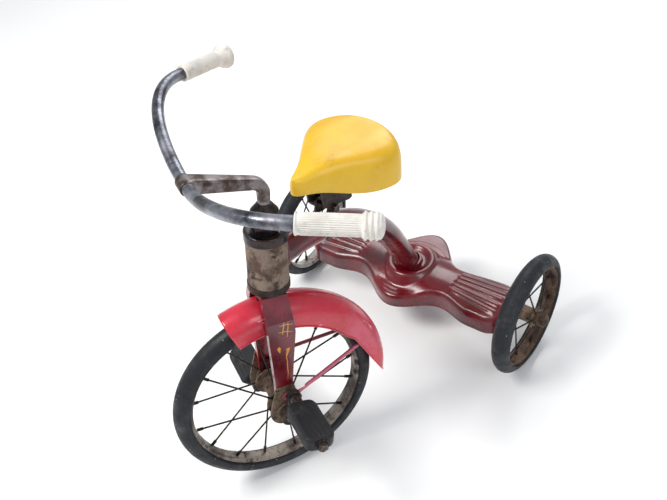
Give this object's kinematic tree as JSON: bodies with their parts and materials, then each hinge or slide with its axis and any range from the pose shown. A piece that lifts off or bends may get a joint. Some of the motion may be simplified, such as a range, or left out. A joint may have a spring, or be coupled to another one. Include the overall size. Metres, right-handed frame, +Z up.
{
  "type": "tricycle",
  "caption": "Child's pedal tricycle with a raked steering head, mudguarded front wheel driven by cranks, stamped step deck over the rear axle and a moulded saddle.",
  "frame": {"origin": "on the ground, straight below the middle of the rear axle", "axes": "-Y is forward, +X is to the rider's left, +Z is up; the steering is stored turned 27.7 degrees to the rider's right"},
  "size_m": [0.5164, 0.5934, 0.5982],
  "materials": {
    "maroon_paint": "worn gloss",
    "dark_red_paint": "worn gloss",
    "bright_red_paint": "scratched gloss",
    "pink_paint": "faded satin",
    "rusted_iron": "rusted, rough",
    "blackened_metal": "dull",
    "spoke_wire": "blackened",
    "rim_steel": "worn, rusted",
    "pale_rim_steel": "spotted with rust",
    "bar_steel": "pitted, worn",
    "stem_iron": "worn",
    "plain_steel": "worn",
    "knob_plastic": "matt",
    "bush_plastic": "matt",
    "bush_brass": "dull",
    "seat_plastic": "aged semi-gloss",
    "grip_vinyl": "aged satin",
    "tyre_rubber": "worn",
    "pedal_rubber": "worn"
  },
  "bodies": {
    "frame": {"head_tube": "rusted_iron", "upper_head_cap": "blackened_metal", "lower_head_ring": "blackened_metal", "head_bushes": "bush_plastic", "backbone_tube": "maroon_paint", "backbone_collar": "maroon_paint", "step_deck": "maroon_paint", "rear_axle": "rusted_iron", "axle_saddles": "maroon_paint", "rear_axle_washers": "rusted_iron", "rear_axle_nuts": "rusted_iron"},
    "seat": {"seat_shell": "seat_plastic", "seat_bracket": "blackened_metal", "seat_clamp_band": "blackened_metal", "seat_clamp_bolt": "plain_steel", "seat_clamp_knob": "knob_plastic"},
    "fork": {"steerer_tube": "bar_steel", "head_locknut": "blackened_metal", "stem_clamp_nut": "blackened_metal", "fork_crown": "dark_red_paint", "fork_left_leg": "dark_red_paint", "fork_right_leg": "dark_red_paint", "left_axle_bracket": "rusted_iron", "right_axle_bracket": "rusted_iron", "axle_bushes": "bush_brass", "bracket_bolts": "dark_red_paint", "bracket_nuts": "blackened_metal", "front_fender": "bright_red_paint", "fender_bolt": "blackened_metal", "left_fender_stay": "pink_paint", "right_fender_stay": "dark_red_paint"},
    "handlebar": {"handlebar_stem": "stem_iron", "handlebar_tube": "bar_steel", "left_grip": "grip_vinyl", "right_grip": "grip_vinyl", "stem_clamp_bolt": "blackened_metal"},
    "front_wheel": {"front_tyre": "tyre_rubber", "front_rim": "rim_steel", "front_hub": "rusted_iron", "front_spokes": "spoke_wire", "front_axle": "plain_steel", "left_crank": "blackened_metal", "right_crank": "blackened_metal", "left_pedal_spindle": "plain_steel", "right_pedal_spindle": "plain_steel", "pedal_nuts": "blackened_metal"},
    "left_pedal_block": {"left_pedal": "pedal_rubber"},
    "right_pedal_block": {"right_pedal": "pedal_rubber"},
    "left_rear_wheel": {"left_rear_tyre": "tyre_rubber", "left_rear_rim": "rim_steel", "left_rear_hub": "rusted_iron", "left_rear_spokes": "spoke_wire"},
    "right_rear_wheel": {"right_rear_tyre": "tyre_rubber", "right_rear_rim": "pale_rim_steel", "right_rear_hub": "rusted_iron", "right_rear_spokes": "spoke_wire"}
  },
  "joints": [
    {"name": "steering", "type": "hinge", "parent": "frame", "child": "fork", "pos_m": [0, -0.38565, 0], "axis": [0, 0.1977, 0.9803], "range_deg": [-32.3, 87.7]},
    {"name": "bar_height", "type": "slide", "parent": "fork", "child": "handlebar", "axis": [0, 0.1977, 0.9803], "range_m": [-0.01, 0.025]},
    {"name": "front_wheel_spin", "type": "hinge", "parent": "fork", "child": "front_wheel", "pos_m": [0, -0.355, 0.152], "axis": [0.8854, -0.4557, 0.0919], "continuous": true},
    {"name": "left_pedal_spin", "type": "hinge", "parent": "front_wheel", "child": "left_pedal_block", "pos_m": [0.00319, -0.34205, 0.18544], "axis": [0.8854, -0.4557, 0.0919], "continuous": true},
    {"name": "right_pedal_spin", "type": "hinge", "parent": "front_wheel", "child": "right_pedal_block", "pos_m": [-0.00319, -0.36795, 0.11856], "axis": [0.8854, -0.4557, 0.0919], "continuous": true},
    {"name": "left_rear_wheel_spin", "type": "hinge", "parent": "frame", "child": "left_rear_wheel", "pos_m": [0.222, 0, 0.1015], "axis": [1, 0, 0], "continuous": true},
    {"name": "right_rear_wheel_spin", "type": "hinge", "parent": "frame", "child": "right_rear_wheel", "pos_m": [-0.222, 0, 0.1015], "axis": [1, 0, 0], "continuous": true},
    {"name": "seat_slide", "type": "hinge", "parent": "frame", "child": "seat", "pos_m": [0, -0.32635, 0.0606], "axis": [1, 0, 0], "range_deg": [-4, 4]}
  ]
}
